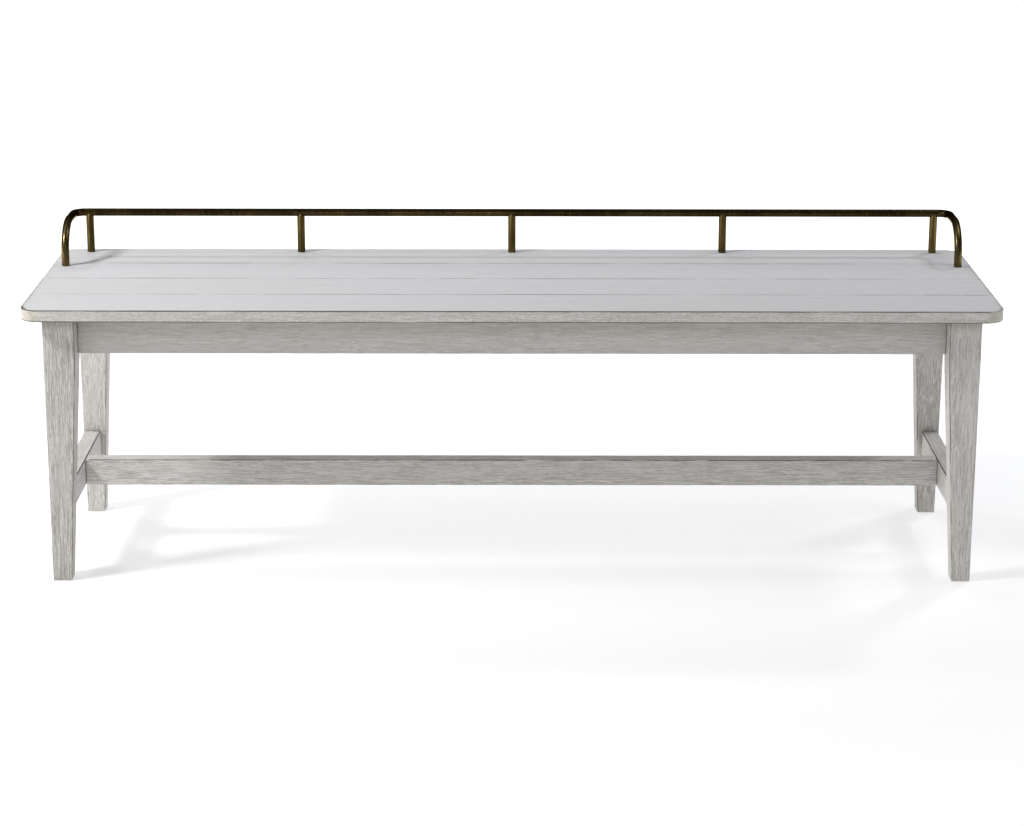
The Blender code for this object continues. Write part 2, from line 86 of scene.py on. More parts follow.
# %% [markdown]
# ## Shader nodes in one line
#
# A material is a small graph of nodes. The first helper adds one node, sets its options and fills its
# sockets, either with a number or colour or with the output of an earlier node. The others wrap the
# nodes that every finish uses, so a material reads from top to bottom like a recipe. The last one
# joins a colour, a sheen and a fine relief to the shader.


# %% Node helpers
def shade(tree, kind, sockets=None, **options):
    made = tree.nodes.new("ShaderNode" + kind)
    for option, value in options.items():
        setattr(made, option, value)
    for socket, value in (sockets or {}).items():
        if isinstance(value, bpy.types.NodeSocket):
            tree.links.new(value, made.inputs[socket])
        else:
            made.inputs[socket].default_value = value
    return made


def between(tree, value, low, high, to_low=0.0, to_high=1.0):
    made = shade(tree, "MapRange", {0: value, 1: low, 2: high, 3: to_low, 4: to_high})
    made.interpolation_type = "SMOOTHSTEP"
    return made.outputs[0]


def times(tree, first, second):
    return shade(tree, "Math", {0: first, 1: second}, operation="MULTIPLY").outputs[0]


def add(tree, first, second):
    return shade(tree, "Math", {0: first, 1: second}, operation="ADD").outputs[0]


def blend(tree, amount, first, second):
    return shade(tree, "Mix", {0: amount, 6: first, 7: second}, data_type="RGBA").outputs[2]


def attribute(tree, name):
    return shade(tree, "Attribute", attribute_name=name).outputs["Fac"]


def noise(tree, place, scale, detail, roughness=0.5):
    made = shade(
        tree,
        "TexNoise",
        {"Vector": place, "Scale": scale, "Detail": detail, "Roughness": roughness},
    )
    return made.outputs["Fac"]


def new_material(name):
    material = bpy.data.materials.new(name)
    material.use_nodes = True
    tree = material.node_tree
    tree.nodes.clear()
    output = shade(tree, "OutputMaterial")
    shader = shade(tree, "BsdfPrincipled")
    tree.links.new(shader.outputs[0], output.inputs["Surface"])
    return material, tree, shader


def surface(tree, shader, colour, sheen, smooth, rough, relief, strength, depth):
    tree.links.new(colour, shader.inputs["Base Color"])
    tree.links.new(between(tree, sheen, 0.3, 0.7, smooth, rough), shader.inputs["Roughness"])
    bump = shade(tree, "Bump", {"Height": relief, "Strength": strength, "Distance": depth})
    tree.links.new(bump.outputs[0], shader.inputs["Normal"])


print("node helpers ready")

# %% [markdown]
# ## The floor
#
# The bench stands in a white studio, on one big pale plane. The floor glows a little by itself, as painted
# light, less around the bench and more in the distance, and the glow also lights the bench from below.
# So the far end stays white while the bench still drops soft shadows near its feet.

# %% Floor
FLOOR_SIZE = 60
FLOOR_DARK = (0.59, 0.59, 0.59, 1)
FLOOR_PALE = (0.61, 0.61, 0.61, 1)
GLOW_STARTS = 0.8
GLOW_FULL = 3.0
GLOW_NEAR = 0.53
GLOW_FAR = 0.98

bpy.ops.object.select_all(action="DESELECT")
bpy.ops.mesh.primitive_plane_add(size=FLOOR_SIZE, location=(0, 0, 0))
floor = bpy.context.object
floor.name = "studio_floor"

floor_material, tree, shader = new_material("studio_white")
place = shade(tree, "TexCoord").outputs["Object"]
tint = blend(tree, noise(tree, place, 3.0, 3), FLOOR_DARK, FLOOR_PALE)
tree.links.new(tint, shader.inputs["Base Color"])
distance = shade(tree, "VectorMath", {0: place}, operation="LENGTH").outputs["Value"]
# Painted light: the floor's own glow, weaker around the bench.
glow = between(tree, distance, GLOW_STARTS, GLOW_FULL, GLOW_NEAR, GLOW_FAR)
tree.links.new(glow, shader.inputs["Emission Strength"])
shader.inputs["Emission Color"].default_value = (1, 1, 1, 1)
shader.inputs["Roughness"].default_value = 0.9
shader.inputs["Specular IOR Level"].default_value = 0.1
floor.data.materials.append(floor_material)
print("floor", floor.dimensions.x, "m wide")

# %% [markdown]
# ## The sky
#
# A dim grey dome fills the shadows. It is a little brighter and cooler overhead than near the floor,
# like the ceiling of a studio.

# %% Sky
SKY_LOW = (0.04, 0.04, 0.04, 1)
SKY_HIGH = (0.17, 0.175, 0.185, 1)

world = bpy.data.worlds.new("studio")
world.use_nodes = True
scene.world = world
tree = world.node_tree
direction = shade(tree, "TexCoord").outputs["Generated"]
height = shade(tree, "SeparateXYZ", {0: direction}).outputs["Z"]
sky = blend(tree, between(tree, height, 0.05, 0.95), SKY_LOW, SKY_HIGH)
tree.links.new(sky, tree.nodes["Background"].inputs["Color"])
print("sky from", SKY_LOW[0], "to", SKY_HIGH[0])

# %% [markdown]
# ## The light
#
# The main lamp stands far round to the left and rather high. It is small, so the rail drops thin dark
# shadows that run to the right across the seat, and the left end is lighter than the right one. Weaker
# lamps stand above both ends and in front. A low glowing card on each side draws a pale stripe along
# the round posts. A broad lamp and two small ones behind, and a strip overhead, brighten the seat, and
# the small ones drop the crossing shadows of the rail. These four are kept out of mirror images, as a
# photographer does with a filter, so the rail stays dark along its top.

# %% Lamps
AIM = Vector((0, 0, 0.35))
WHITE = (1, 1, 1)
COOL = (0.90, 0.93, 1.0)


def lamp(name, turn, rise, away, size, power, colour=WHITE, mirrored=True):
    left_of_front = math.radians(turn)
    up = math.radians(rise)
    towards = Vector(
        (
            -math.sin(left_of_front) * math.cos(up),
            -math.cos(left_of_front) * math.cos(up),
            math.sin(up),
        )
    )
    bpy.ops.object.light_add(type="AREA", location=AIM + away * towards)
    made = bpy.context.object
    made.name = name
    made.data.shape = "RECTANGLE"
    made.data.size, made.data.size_y = size
    made.data.energy = power
    made.data.color = colour
    made.visible_glossy = mirrored
    made.rotation_euler = (-towards).to_track_quat("-Z", "Y").to_euler()
    print(name, power, "W")


lamp("main_lamp", turn=67, rise=35, away=3.15, size=(0.45, 0.45), power=58)
lamp("left_end_lamp", turn=90, rise=55, away=2.6, size=(1.6, 1.6), power=5)
lamp("right_end_lamp", turn=-90, rise=55, away=2.6, size=(1.0, 1.0), power=10)
lamp("left_card", turn=88, rise=-3, away=2.3, size=(1.6, 0.45), power=8)
lamp("right_card", turn=-88, rise=-3, away=2.3, size=(1.6, 0.45), power=4)
lamp("front_softbox", turn=4, rise=20, away=4.0, size=(0.6, 0.6), power=7)
lamp("back_fill", turn=165, rise=34, away=3.2, size=(1.6, 0.8), power=24, mirrored=False)
for name, turn, power in (("back_left_lamp", 125, 12), ("back_right_lamp", -125, 13)):
    lamp(name, turn, rise=40, away=2.8, size=(0.28, 0.28), power=power, colour=COOL, mirrored=False)
lamp("top_strip", turn=180, rise=86, away=2.6, size=(2.4, 0.50), power=3, colour=COOL, mirrored=False)

# %% [markdown]
# ## Patterns of the grain
#
# The oak was brushed with wire, which hollows the soft grain, and then rubbed with thin white paint.
# Noise stretched along one axis gives the streaks that are left, and a slower noise bends them. Where
# an edge cuts the grain at an angle it shows short slanting flecks, so their noise is turned before it
# is stretched. The scales are streaks per metre, along the grain and across it.

# %% Grain patterns
ALONG, ACROSS, UP = range(3)
SWAY = (0.010, 0.010, 0.010)
FLECK_LENGTH = 0.0052
FLECK_WIDTH = 0.0016
FLECK_SLANT = 0.38
DARK_LINE = (0.21, 0.19, 0.168, 1)
PALE_LINE = (0.88, 0.865, 0.845, 1)


def streaks(tree, place, grain, along, across, detail, roughness=0.5):
    scale = [across] * 3
    scale[grain] = along
    stretched = shade(tree, "Mapping", {"Vector": place, "Scale": scale}).outputs[0]
    return noise(tree, stretched, 1.0, detail, roughness)


def swayed(tree, place):
    slow = shade(tree, "TexNoise", {"Vector": place, "Scale": 11.0, "Detail": 2.0})
    made = shade(
        tree,
        "VectorMath",
        {0: slow.outputs["Color"], 1: SWAY, 2: place},
        operation="MULTIPLY_ADD",
    )
    return made.outputs[0]


def slanted_flecks(tree, place, grain):
    cell = [FLECK_WIDTH] * 3
    cell[grain] = FLECK_LENGTH
    slanted = shade(
        tree,
        "Mapping",
        {"Vector": place, "Rotation": (0, FLECK_SLANT, 0), "Scale": cell},
        vector_type="TEXTURE",
    )
    return noise(tree, slanted.outputs[0], 1.0, 2)


def lines(tree, colour, pattern, strength, dark, pale):
    sunk = times(tree, between(tree, pattern, *dark), strength)
    colour = blend(tree, sunk, colour, DARK_LINE)
    proud = times(tree, between(tree, pattern, *pale), strength)
    return blend(tree, proud, colour, PALE_LINE)


print("grain runs along", ALONG, "across", ACROSS, "or up", UP)

# %% [markdown]
# ## Whitewashed oak
#
# The paint stays in some lines and wears off others, so the surface is a mix of white and grey-brown
# streaks with calm and busy patches. Two values stored on the mesh do the rest: one paints shade under
# the seat and on its outer faces, with a slightly darker tone on the aprons, and brings out more streaks
# and flecks there, and rubbed shows bare dark wood where hands and feet have worn the edges. The seat is
# painted more thickly, so it has its own pale and grey.

# %% Oak finish
PALE = (0.655, 0.635, 0.610, 1)
GREY = (0.40, 0.37, 0.335, 1)
# Colour of the painted shade under the seat.
PAINTED_SHADE = (0.26, 0.236, 0.204, 1)
SEAT_PALE = (0.630, 0.624, 0.630, 1)
SEAT_GREY = (0.50, 0.49, 0.488, 1)
# Colour of the painted shade on the seat's outer faces, warmer than the wood.
SEAT_PAINTED_SHADE = (0.46, 0.425, 0.325, 1)
PORE = (0.13, 0.115, 0.10, 1)
BEIGE = (0.50, 0.46, 0.41, 1)
BARE_OAK = (0.075, 0.062, 0.050, 1)


def worn_through(tree, chips):
    rubbed = attribute(tree, "rubbed")
    onset = add(tree, times(tree, rubbed, -0.5), 0.68)
    full = add(tree, onset, 0.14)
    return times(tree, between(tree, chips, onset, full), between(tree, rubbed, 0.0, 0.9, 0.0, 0.9))


def oak(name, grain, dashes, bands, pale=PALE, grey=GREY, run=1.0, tone=0.22, shade_grain=0.3, shade_paint=PAINTED_SHADE):
    material, tree, shader = new_material(name)
    place = shade(tree, "TexCoord").outputs["Object"]
    bent = swayed(tree, place)
    wide = streaks(tree, bent, grain, 14.0 * run, 190.0, 4, 0.6)
    fine = streaks(tree, bent, grain, 22.0 * run, 800.0, 2)
    hair = streaks(tree, bent, grain, 95.0, 1150.0, 2)
    patch = streaks(tree, place, grain, 5.0, 22.0, 2)
    broad = streaks(tree, place, grain, 2.0, 7.0, 2)
    chips = streaks(tree, place, grain, 26.0 * run, 120.0, 3, 0.6)
    # The value of painted shade and tone; where it is high the streaks and flecks also grow busier.
    painted_shade_and_tone = attribute(tree, "painted_shade_and_tone")
    shade_grain_mask = times(tree, painted_shade_and_tone, shade_grain)
    busy = between(tree, patch, 0.30, 0.62, 0.55, 1.0)
    busy = times(tree, busy, add(tree, shade_grain_mask, dashes))
    colour = blend(tree, between(tree, wide, 0.40, 0.68, 0.0, bands), pale, grey)
    colour = lines(tree, colour, fine, busy, (0.50, 0.57), (0.48, 0.41))
    colour = blend(tree, times(tree, between(tree, hair, 0.53, 0.64), busy), colour, PORE)
    flecks = slanted_flecks(tree, bent, grain)
    colour = lines(tree, colour, flecks, shade_grain_mask, (0.52, 0.62), (0.48, 0.38))
    colour = blend(tree, between(tree, broad, 0.35, 0.70, 0.0, tone), colour, BEIGE)
    # Painted shade: the colour goes towards the shade colour where the value is high.
    dusk = times(tree, painted_shade_and_tone, between(tree, wide, 0.35, 0.65, 0.75, 1.0))
    colour = blend(tree, dusk, colour, shade_paint)
    colour = blend(tree, worn_through(tree, chips), colour, BARE_OAK)
    shader.inputs["Specular IOR Level"].default_value = 0.35
    surface(tree, shader, colour, fine, 0.50, 0.74, relief=fine, strength=0.4, depth=0.0006)
    return material


oak_seat = oak(
    "oak_seat",
    ALONG,
    dashes=0.08,
    bands=0.12,
    pale=SEAT_PALE,
    grey=SEAT_GREY,
    run=0.35,
    tone=0.10,
    shade_grain=0.7,
    shade_paint=SEAT_PAINTED_SHADE,
)
oak_calm = oak("oak_calm", ALONG, dashes=0.21, bands=0.07, shade_grain=0.1)
oak_calm_cross = oak("oak_calm_cross", ACROSS, dashes=0.21, bands=0.07, shade_grain=0.1)
oak_long = oak("oak_long", ALONG, dashes=0.34, bands=0.07, tone=0.15)
oak_cross = oak("oak_cross", ACROSS, dashes=0.25, bands=0.25)
oak_up = oak("oak_up", UP, dashes=0.52, bands=0.10, run=0.65)
oak_up_calm = oak("oak_up_calm", UP, dashes=0.40, bands=0.09, run=0.65)
print("oak finishes: a quiet one for the seat, calm ones and busy ones for each grain direction")

# %% [markdown]
# ## Modelling helpers
#
# Every wooden piece starts as a cube scaled to its real size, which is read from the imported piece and
# rounded to a thousandth of a millimetre. In edit mode its long edges are divided evenly, which gives
# the mesh enough points for the grain. The helpers here select edges or points by their place and
# direction, as a modeller would with the mouse.

# %% Select, divide and finish
DECIMALS = 6


def sides(node):
    low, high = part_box(node)
    return [round(value, DECIMALS) for value in low], [round(value, DECIMALS) for value in high]


def start(name, low, high):
    bpy.ops.object.select_all(action="DESELECT")
    middle = [(a + b) / 2 for a, b in zip(low, high)]
    size = [b - a for a, b in zip(low, high)]
    bpy.ops.mesh.primitive_cube_add(size=1, location=middle, scale=size)
    piece = bpy.context.object
    piece.name = name
    bpy.ops.object.transform_apply(location=True, rotation=True, scale=True)
    return piece


def select(piece, kind, wanted):
    bpy.context.view_layer.objects.active = piece
    bpy.ops.object.mode_set(mode="EDIT")
    modes = {"verts": "VERT", "edges": "EDGE", "faces": "FACE"}
    bpy.ops.mesh.select_mode(type=modes[kind])
    bpy.ops.mesh.select_all(action="DESELECT")
    body = bmesh.from_edit_mesh(piece.data)
    for element in getattr(body, kind):
        if wanted(element):
            element.select_set(True)
    body.select_flush_mode()
    bmesh.update_edit_mesh(piece.data)


def done():
    bpy.ops.object.mode_set(mode="OBJECT")


def divide(piece, axis, cuts):
    def runs_that_way(edge):
        return abs((edge.verts[1].co - edge.verts[0].co).normalized()[axis]) > 0.95

    select(piece, "edges", runs_that_way)
    bpy.ops.mesh.subdivide(number_cuts=cuts)
    done()


def pick(piece):
    bpy.ops.object.select_all(action="DESELECT")
    piece.select_set(True)
    bpy.context.view_layer.objects.active = piece


def apply_modifier(piece, modifier):
    pick(piece)
    bpy.ops.object.modifier_apply(modifier=modifier.name)


def face_outwards(piece):
    select(piece, "faces", lambda face: True)
    bpy.ops.mesh.normals_make_consistent(inside=False)
    done()


print("modelling helpers ready")

# %% [markdown]
# ## Soft edges and brushed grain
#
# A joiner takes the sharpness off each edge with sandpaper. A Bevel modifier does the same, and it
# marks its new faces with a second material slot. Those marks become the rubbed value of the finish.
# Two Displace modifiers then press the brushed grain into the wood: their cloud texture is stretched by
# an empty that is long in the direction of the grain. They only press inward, so nothing grows.

# %% Edges, grain and wear
BENT_EDGE = math.radians(50)
SMOOTH_BELOW = math.radians(40)
LONG_GRAIN = (0.060, 0.0045)
SHORT_GRAIN = (0.020, 0.0018)
LONG_GRAIN_PLACE = (0.013, 0.007, 0.003)
SHORT_GRAIN_PLACE = (0.0, 0.002, 0.005)


def ramp(value, length):
    return min(1.0, max(0.0, value / length))


def soften(piece, width, material, wear, shade_paint=None):
    piece.data.materials.append(material)
    piece.data.materials.append(None)
    bevel = piece.modifiers.new("soft_edges", "BEVEL")
    bevel.width = width
    bevel.segments = 3
    bevel.limit_method = "ANGLE"
    bevel.angle_limit = BENT_EDGE
    bevel.material = 1
    apply_modifier(piece, bevel)
    mesh = piece.data
    rubbed = mesh.attributes.new("rubbed", "FLOAT", "POINT")
    for face in mesh.polygons:
        if face.material_index == 1:
            for corner in face.vertices:
                rubbed.data[corner].value = wear(mesh.vertices[corner].co)
        face.material_index = 0
    mesh.materials.pop(index=1)
    # The painted shade and tone are kept as a value on each point.
    if shade_paint:
        painted_shade_and_tone = mesh.attributes.new("painted_shade_and_tone", "FLOAT", "POINT")
        for point in mesh.vertices:
            painted_shade_and_tone.data[point.index].value = shade_paint(point.co)


def press_grain(piece, grain, streak, depth, offset):
    bpy.ops.object.select_all(action="DESELECT")
    bpy.ops.object.empty_add(location=offset)
    guide = bpy.context.object
    length, width = streak
    guide.scale = [length if axis == grain else width for axis in range(3)]
    clouds = bpy.data.textures.new(piece.name + "_grain", "CLOUDS")
    clouds.noise_scale = 1.0
    clouds.noise_depth = 2
    displace = piece.modifiers.new("grain", "DISPLACE")
    displace.texture = clouds
    displace.texture_coords = "OBJECT"
    displace.texture_coords_object = guide
    displace.mid_level = 1.0
    displace.strength = depth
    apply_modifier(piece, displace)
    bpy.data.objects.remove(guide)
    bpy.data.textures.remove(clouds)


def hand_over(piece, slot, *stands_for):
    pick(piece)
    bpy.ops.object.shade_smooth_by_angle(angle=SMOOTH_BELOW)
    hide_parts(*stands_for)
    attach(piece, "root")
    print(piece.name, len(piece.data.polygons), "faces")


def finish_oak(piece, grain, material, node, wear, shade_paint=None, edge=0.0013, depth=0.00035):
    soften(piece, edge, material, wear, shade_paint)
    press_grain(piece, grain, LONG_GRAIN, depth, LONG_GRAIN_PLACE)
    press_grain(piece, grain, SHORT_GRAIN, depth * 0.5, SHORT_GRAIN_PLACE)
    hand_over(piece, "whitewashed_oak", node)


print("finishing helpers ready")

# %% [markdown]
# ## The seat
#
# Four planks lie side by side, with a fine groove at each joint. The front and the back plank have
# rounded corners. A corner is rounded on a divided plank by drawing its square of points into a
# quarter disc: each point keeps its ring and moves along it to the circle.

# %% Seat planks
CORNER_RADIUS = 0.030
SEAT_X = sides("seat_plank_front")[1][0]
SEAT_Y = sides("seat_plank_back")[1][1]
ROUND_X = SEAT_X - CORNER_RADIUS
ROUND_Y = SEAT_Y - CORNER_RADIUS


def round_corners(piece, edge_side):
    for point in piece.data.vertices:
        for end in (-1, 1):
            a = end * point.co.x - ROUND_X
            b = edge_side * point.co.y - ROUND_Y
            if a > 0 and b > 0:
                ring = max(a, b) / math.hypot(a, b)
                point.co.x = end * (ROUND_X + a * ring)
                point.co.y = edge_side * (ROUND_Y + b * ring)


def plank(name, node, edge_side):
    piece = start(name, *sides(node))
    divide(piece, ACROSS, cuts=43)
    divide(piece, UP, cuts=6)
    divide(piece, ALONG, cuts=13)
    divide(piece, ALONG, cuts=13)
    if edge_side:
        round_corners(piece, edge_side)
    return piece


print("corners are rounded to", CORNER_RADIUS, "m")

# %% [markdown]
# ## Wear and painted shade of the seat
#
# The long edges and the corners are rubbed most, except at the right end, and the joints between the
# planks show broken dark lines. The outer faces of the seat are darkened and warmed with painted shade,
# most of all on the rounded corners, while the top stays clean.

# %% Wear and painted shade of the seat
CORNER_FROM = ROUND_X + 0.003
WORN_STRIP = 0.0035
END_STRIP = 0.007


def at_corner(co, past_round):
    return abs(co.x) > CORNER_FROM and abs(co.y) > ROUND_Y + past_round


def seat_wear(co):
    if abs(co.y) > SEAT_Y - WORN_STRIP or at_corner(co, -0.0025):
        return 1.0 if co.x < CORNER_FROM else 0.6
    if abs(co.x) > SEAT_X - END_STRIP:
        return 0.62 if co.x < 0.0 and co.y < 0.0 else 0.35
    return 0.57 + 0.10 * math.sin(13.0 * co.x + 47.0 * co.y) * math.sin(5.0 * co.x + 1.0)


# Painted shade: on the outer faces, and darker on the rounded corners.
def seat_painted_shade(co):
    if at_corner(co, 0.0015):
        from_round = math.hypot(abs(co.x) - ROUND_X, abs(co.y) - ROUND_Y)
        return 0.65 if from_round > CORNER_RADIUS - 0.0015 else 0.0
    outer = abs(co.x) > SEAT_X - 0.0020 or abs(co.y) > SEAT_Y - 0.0015
    return 0.36 if outer else 0.0


planks = {
    "front_plank": ("seat_plank_front", -1),
    "front_inner_plank": ("seat_plank_front_inner", 0),
    "back_inner_plank": ("seat_plank_back_inner", 0),
    "back_plank": ("seat_plank_back", 1),
}
for name, (node, edge_side) in planks.items():
    piece = plank(name, node, edge_side)
    finish_oak(piece, ALONG, oak_seat, node, seat_wear, seat_painted_shade, edge=0.0010, depth=0.00022)

# %% [markdown]
# ## The legs
#
# A leg is square where the aprons meet it, and from there it tapers on its two inner faces. One cube
# is cut at the foot of the apron and its bottom is drawn towards the outer corner. The two lengths are
# then divided so that the points lie evenly.

# %% One leg
leg_low, leg_high = sides("leg_front_left")
LEG_X = -leg_low[0]
LEG_Y = -leg_low[1]
LEG_SQUARE = leg_high[0] - leg_low[0]
LEG_FOOT = 0.030
TAPER_START = sides("apron_front")[0][2]

leg = start("leg_pattern", leg_low, leg_high)
select(leg, "faces", lambda face: True)
bpy.ops.mesh.bisect(plane_co=(0, 0, TAPER_START), plane_no=(0, 0, 1))
select(leg, "verts", lambda vert: vert.co.z < TAPER_START / 2)
foot = LEG_FOOT / LEG_SQUARE
bpy.ops.transform.resize(value=(foot, foot, 1), center_override=leg_low)
done()
divide(leg, ALONG, cuts=22)
divide(leg, ACROSS, cuts=22)


def rise_of(edge):
    return abs(edge.verts[1].co.z - edge.verts[0].co.z)


SQUARE_LENGTH = leg_high[2] - TAPER_START

select(leg, "edges", lambda edge: rise_of(edge) > TAPER_START / 2)
bpy.ops.mesh.subdivide(number_cuts=60)
done()
select(leg, "edges", lambda edge: rise_of(edge) > SQUARE_LENGTH / 2)
bpy.ops.mesh.subdivide(number_cuts=10)
done()
print("leg pattern has", len(leg.data.vertices), "points")

# %% [markdown]
# ## Four legs from one
#
# The other legs are mirrored copies, and each gets its own grain. A mirrored mesh is inside out, so its
# normals are recalculated. The front left leg came from a busier piece of oak than the others. Painted
# shade darkens the tops under the seat and, more lightly, the upper part of each leg, and two of the legs
# get a little painted shade all over.

# %% Legs
OVERHANG_FROM = 0.410
UPPER_FROM = 0.27
FOOT_RIM = 0.004


def leg_wear(co):
    if co.z < FOOT_RIM:
        return 0.2
    return 0.62 if abs(co.x) < LEG_X - 0.02 else 0.4


# Painted shade: darkest just under the seat, lighter lower down, plus a little all over on two legs.
def leg_painted_shade(co):
    overhang = ramp(co.z - OVERHANG_FROM, 0.012)
    upper = ramp(co.z - UPPER_FROM, 0.09)
    darker = 0.15 if co.x * co.y > 0 else 0.0
    return 0.70 * overhang + 0.10 * upper + darker


def mirrored_copies(pattern):
    for end, end_name in ((-1, "left"), (1, "right")):
        for side, side_name in ((-1, "front"), (1, "back")):
            pick(pattern)
            bpy.ops.object.duplicate()
            piece = bpy.context.object
            bpy.ops.transform.resize(value=(-end, -side, 1), center_override=(0, 0, 0))
            bpy.ops.object.transform_apply(location=True, rotation=True, scale=True)
            face_outwards(piece)
            yield piece, side_name + "_" + end_name
    bpy.data.objects.remove(pattern)


for piece, corner in mirrored_copies(leg):
    piece.name = corner + "_leg"
    oak_here = oak_up if corner == "front_left" else oak_up_calm
    finish_oak(piece, UP, oak_here, "leg_" + corner, leg_wear, leg_painted_shade)

# %% [markdown]
# ## The aprons
#
# Four boards on edge close the frame under the seat. They stand well back from the faces of the legs,
# so that a shadow falls on them. The imported ones have tenons hidden in the legs, so here each board
# ends just short of them. Each board is painted a little darker all over, and painted shade darkens its
# upper part, where the seat's shadow falls.

# %% Aprons
FIT = 0.0003
APRON_EDGE = 0.0008
SHADE_FROM = 0.386
LEG_INNER_X = LEG_X - LEG_SQUARE
LEG_INNER_Y = LEG_Y - LEG_SQUARE


def apron_wear(co):
    at_end = abs(co.x) > LEG_INNER_X - 0.003 and abs(co.y) > LEG_INNER_Y - 0.003
    return 0.0 if at_end else 0.4


# A slightly darker tone all over, with painted shade at the top under the seat.
def apron_tone_and_shade(co):
    return 0.22 + 0.40 * ramp(co.z - SHADE_FROM, 0.022)


def without_tenons(node, axis, reach):
    low, high = sides(node)
    low[axis] = -reach
    high[axis] = reach
    return low, high


for side_name in ("front", "back"):
    node = "apron_" + side_name
    piece = start(side_name + "_apron", *without_tenons(node, ALONG, LEG_INNER_X - FIT))
    divide(piece, UP, cuts=25)
    divide(piece, ACROSS, cuts=6)
    divide(piece, ALONG, cuts=12)
    divide(piece, ALONG, cuts=12)
    finish_oak(piece, ALONG, oak_calm, node, apron_wear, apron_tone_and_shade, APRON_EDGE)

for end_name in ("left", "right"):
    node = "apron_" + end_name
    piece = start(end_name + "_apron", *without_tenons(node, ACROSS, LEG_INNER_Y - FIT))
    divide(piece, UP, cuts=25)
    divide(piece, ALONG, cuts=6)
    divide(piece, ACROSS, cuts=40)
    finish_oak(piece, ACROSS, oak_calm_cross, node, apron_wear, apron_tone_and_shade, APRON_EDGE)

# %% [markdown]
# ## The stretchers
#
# Two short stretchers tie the front legs to the back ones and a long one joins them, like an H. Since
# the legs taper, the ends of the short ones are cut on a slant: the lower end points are moved out.
# Feet have rubbed the upper inner edges most.

# %% Stretchers
right_low, right_high = sides("stretcher_right")
STRETCHER_INNER_X = right_low[0]
FOOT_RUBBED = 0.012
STRETCHER_LOW = right_low[2]
STRETCHER_HIGH = right_high[2]
STRETCHER_MIDDLE = (STRETCHER_LOW + STRETCHER_HIGH) / 2


def leg_inner_y(z):
    width = LEG_FOOT + (LEG_SQUARE - LEG_FOOT) * z / TAPER_START
    return LEG_Y - width - FIT


def stretcher_wear(co):
    inner = abs(co.x) < STRETCHER_INNER_X + FOOT_RUBBED
    return 1.0 if inner and co.z > STRETCHER_MIDDLE else 0.45


def long_wear(co):
    if abs(co.x) > STRETCHER_INNER_X - 0.003:
        return 0.0
    return 0.64 if co.z > STRETCHER_MIDDLE else 0.5


reach = leg_inner_y(STRETCHER_HIGH)
longer = leg_inner_y(STRETCHER_LOW) / reach
for end_name in ("left", "right"):
    node = "stretcher_" + end_name
    piece = start(end_name + "_stretcher", *without_tenons(node, ACROSS, reach))
    select(piece, "verts", lambda vert: vert.co.z < STRETCHER_MIDDLE)
    bpy.ops.transform.resize(value=(1, longer, 1), center_override=(0, 0, 0))
    done()
    divide(piece, UP, cuts=18)
    divide(piece, ALONG, cuts=12)
    divide(piece, ACROSS, cuts=44)
    finish_oak(piece, ACROSS, oak_cross, node, stretcher_wear)

node = "stretcher_long"
piece = start("long_stretcher", *without_tenons(node, ALONG, STRETCHER_INNER_X - FIT))
divide(piece, UP, cuts=20)
divide(piece, ACROSS, cuts=12)
divide(piece, ALONG, cuts=12)
divide(piece, ALONG, cuts=12)
finish_oak(piece, ALONG, oak_long, node, long_wear)

# %% [markdown]
# ## Antique brass
#
# The rail is brass tube darkened with age. The patina is a deep olive brown, and the metal shows
# through in long rubbed streaks, and at the bent ends where hands take hold. Because the surface is
# metal, most of its look is what it mirrors. The posts were turned on a lathe, which leaves fine rings.
# Rings draw a highlight out along the post, and the anisotropic shader with a tangent around the post
# does the same.

# %% Brass finish
BRASS_DEEP = (0.034, 0.022, 0.008, 1)
BRASS_WARM = (0.070, 0.048, 0.017, 1)
TURNED_DEEP = (0.098, 0.072, 0.024, 1)
TURNED_WARM = (0.155, 0.116, 0.041, 1)
BRIGHT_STREAK = (0.30, 0.22, 0.095, 1)
RUBBED_BRASS = (0.140, 0.106, 0.044, 1)
DARK_SPECK = (0.02, 0.014, 0.007, 1)
BRASS_GLANCE = (0.42, 0.38, 0.30, 1)


def aged_brass(name, deep, warm, rough):
    material, tree, shader = new_material(name)
    place = shade(tree, "TexCoord").outputs["Object"]
    cloud = noise(tree, place, 16.0, 3, 0.55)
    colour = blend(tree, between(tree, cloud, 0.38, 0.66), deep, warm)
    upright = streaks(tree, place, UP, 20.0, 420.0, 2)
    colour = blend(tree, between(tree, upright, 0.55, 0.75, 0.0, 0.22), colour, BRIGHT_STREAK)
    thin = times(tree, attribute(tree, "rubbed"), between(tree, cloud, 0.30, 0.60, 0.6, 1.0))
    colour = blend(tree, thin, colour, RUBBED_BRASS)
    speck = noise(tree, place, 700.0, 2)
    colour = blend(tree, between(tree, speck, 0.55, 0.75, 0.0, 0.4), colour, DARK_SPECK)
    shader.inputs["Metallic"].default_value = 1.0
    shader.inputs["Specular Tint"].default_value = BRASS_GLANCE
    surface(tree, shader, colour, cloud, rough, rough - 0.09, relief=speck, strength=0.06, depth=0.0002)
    return material, tree, shader


brass = aged_brass("antique_brass", BRASS_DEEP, BRASS_WARM, 0.34)[0]
post_brass, tree, shader = aged_brass("turned_brass", TURNED_DEEP, TURNED_WARM, 0.44)
around = shade(tree, "Tangent", direction_type="RADIAL", axis="Z").outputs[0]
tree.links.new(around, shader.inputs["Tangent"])
shader.inputs["Anisotropic"].default_value = 0.8
shader.inputs["Anisotropic Rotation"].default_value = 0.25
print("brass finishes ready")

# %% [markdown]
# ## The rail
#
# One tube is bent twice at each end. It starts as a disc on the seat that is extruded upwards, spun
# back over a quarter turn, extruded, spun sideways and extruded to the middle. A Mirror modifier makes
# the other half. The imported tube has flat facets, so this round one lies a hair lower to stay within it.

